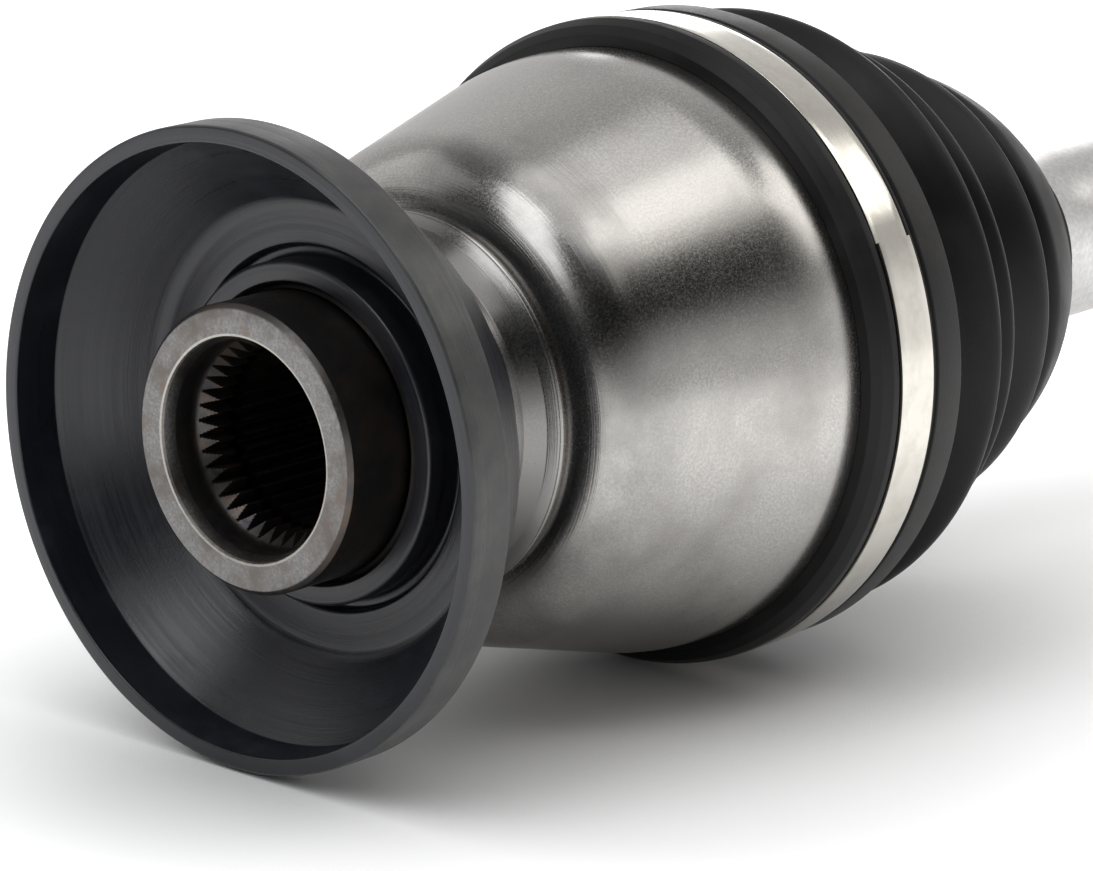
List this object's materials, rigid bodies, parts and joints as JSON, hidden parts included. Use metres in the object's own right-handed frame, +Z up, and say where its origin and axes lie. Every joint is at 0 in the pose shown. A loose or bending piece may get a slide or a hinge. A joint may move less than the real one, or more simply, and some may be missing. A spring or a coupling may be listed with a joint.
{
  "type": "drive shaft",
  "caption": "Automotive half shaft: a plunging tripod joint with a splined stem, dust shield and boot, a solid bar, and a fixed ball joint with a splined stub axle.",
  "frame": {"origin": "on the shaft's axis, where the smooth pilot land of the inboard stem's bore begins", "axes": "+X along the shaft from the inboard joint to the outboard joint, +Z up, through the first trunnion of the tripod"},
  "size_m": [0.6185, 0.1103, 0.1098],
  "materials": {
    "turned_steel": "satin turned",
    "forged_steel": "satin forged and turned",
    "bar_steel": "satin",
    "bearing_steel": "ground",
    "spring_steel": "oiled",
    "plated_steel": "zinc plated",
    "band_steel": "polished stainless",
    "shield_rubber": "satin black",
    "boot_rubber": "satin black"
  },
  "bodies": {
    "inboard_housing": {"tulip_housing": "turned_steel", "dust_shield": "shield_rubber", "stem_plug": "plated_steel", "inner_boot": "boot_rubber", "inner_large_band": "band_steel"},
    "plunging_roller": {"roller_1": "bearing_steel", "needles_1": "bearing_steel"},
    "shaft": {"shaft_bar": "bar_steel", "spider": "bearing_steel", "spider_circlip": "spring_steel", "roller_retainers": "spring_steel", "inner_small_band": "band_steel", "outer_small_band": "band_steel", "inner_race": "bearing_steel", "race_circlip": "spring_steel"},
    "second_roller": {"roller_2": "bearing_steel", "needles_2": "bearing_steel"},
    "third_roller": {"roller_3": "bearing_steel", "needles_3": "bearing_steel"},
    "ball_cage": {"cage": "bearing_steel", "balls": "bearing_steel"},
    "outboard_joint": {"outer_housing": "forged_steel", "outer_boot": "boot_rubber", "outer_large_band": "band_steel"}
  },
  "joints": [
    {"name": "plunge", "type": "slide", "parent": "inboard_housing", "child": "plunging_roller", "axis": [1, 0, 0], "range_m": [-0.008, 0.008], "deforming": ["inner_boot"]},
    {"name": "inboard_tilt", "type": "hinge", "parent": "plunging_roller", "child": "shaft", "pos_m": [0.0821, 0, 0], "axis": [0, 0, 1], "range_deg": [-12, 12], "deforming": ["inner_boot"]},
    {"name": "second_roller_roll", "type": "hinge", "parent": "shaft", "child": "second_roller", "pos_m": [0.0821, 0, 0], "axis": [0, -0.866, -0.5], "range_deg": [-33, 33]},
    {"name": "third_roller_roll", "type": "hinge", "parent": "shaft", "child": "third_roller", "pos_m": [0.0821, 0, 0], "axis": [0, 0.866, -0.5], "range_deg": [-33, 33]},
    {"name": "outboard_steer", "type": "hinge", "parent": "shaft", "child": "outboard_joint", "pos_m": [0.5121, 0, 0], "axis": [0, 0, 1], "range_deg": [-40, 40], "deforming": ["outer_boot"]},
    {"name": "cage_follow", "type": "hinge", "parent": "shaft", "child": "ball_cage", "pos_m": [0.5121, 0, 0], "axis": [0, 0, 1], "range_deg": [-20, 20]}
  ],
  "couplings": [
    {"joint": "second_roller_roll", "follows": "plunge", "rad_per_m": 71.429},
    {"joint": "third_roller_roll", "follows": "plunge", "rad_per_m": 71.429},
    {"joint": "cage_follow", "follows": "outboard_steer", "ratio": 0.5}
  ]
}
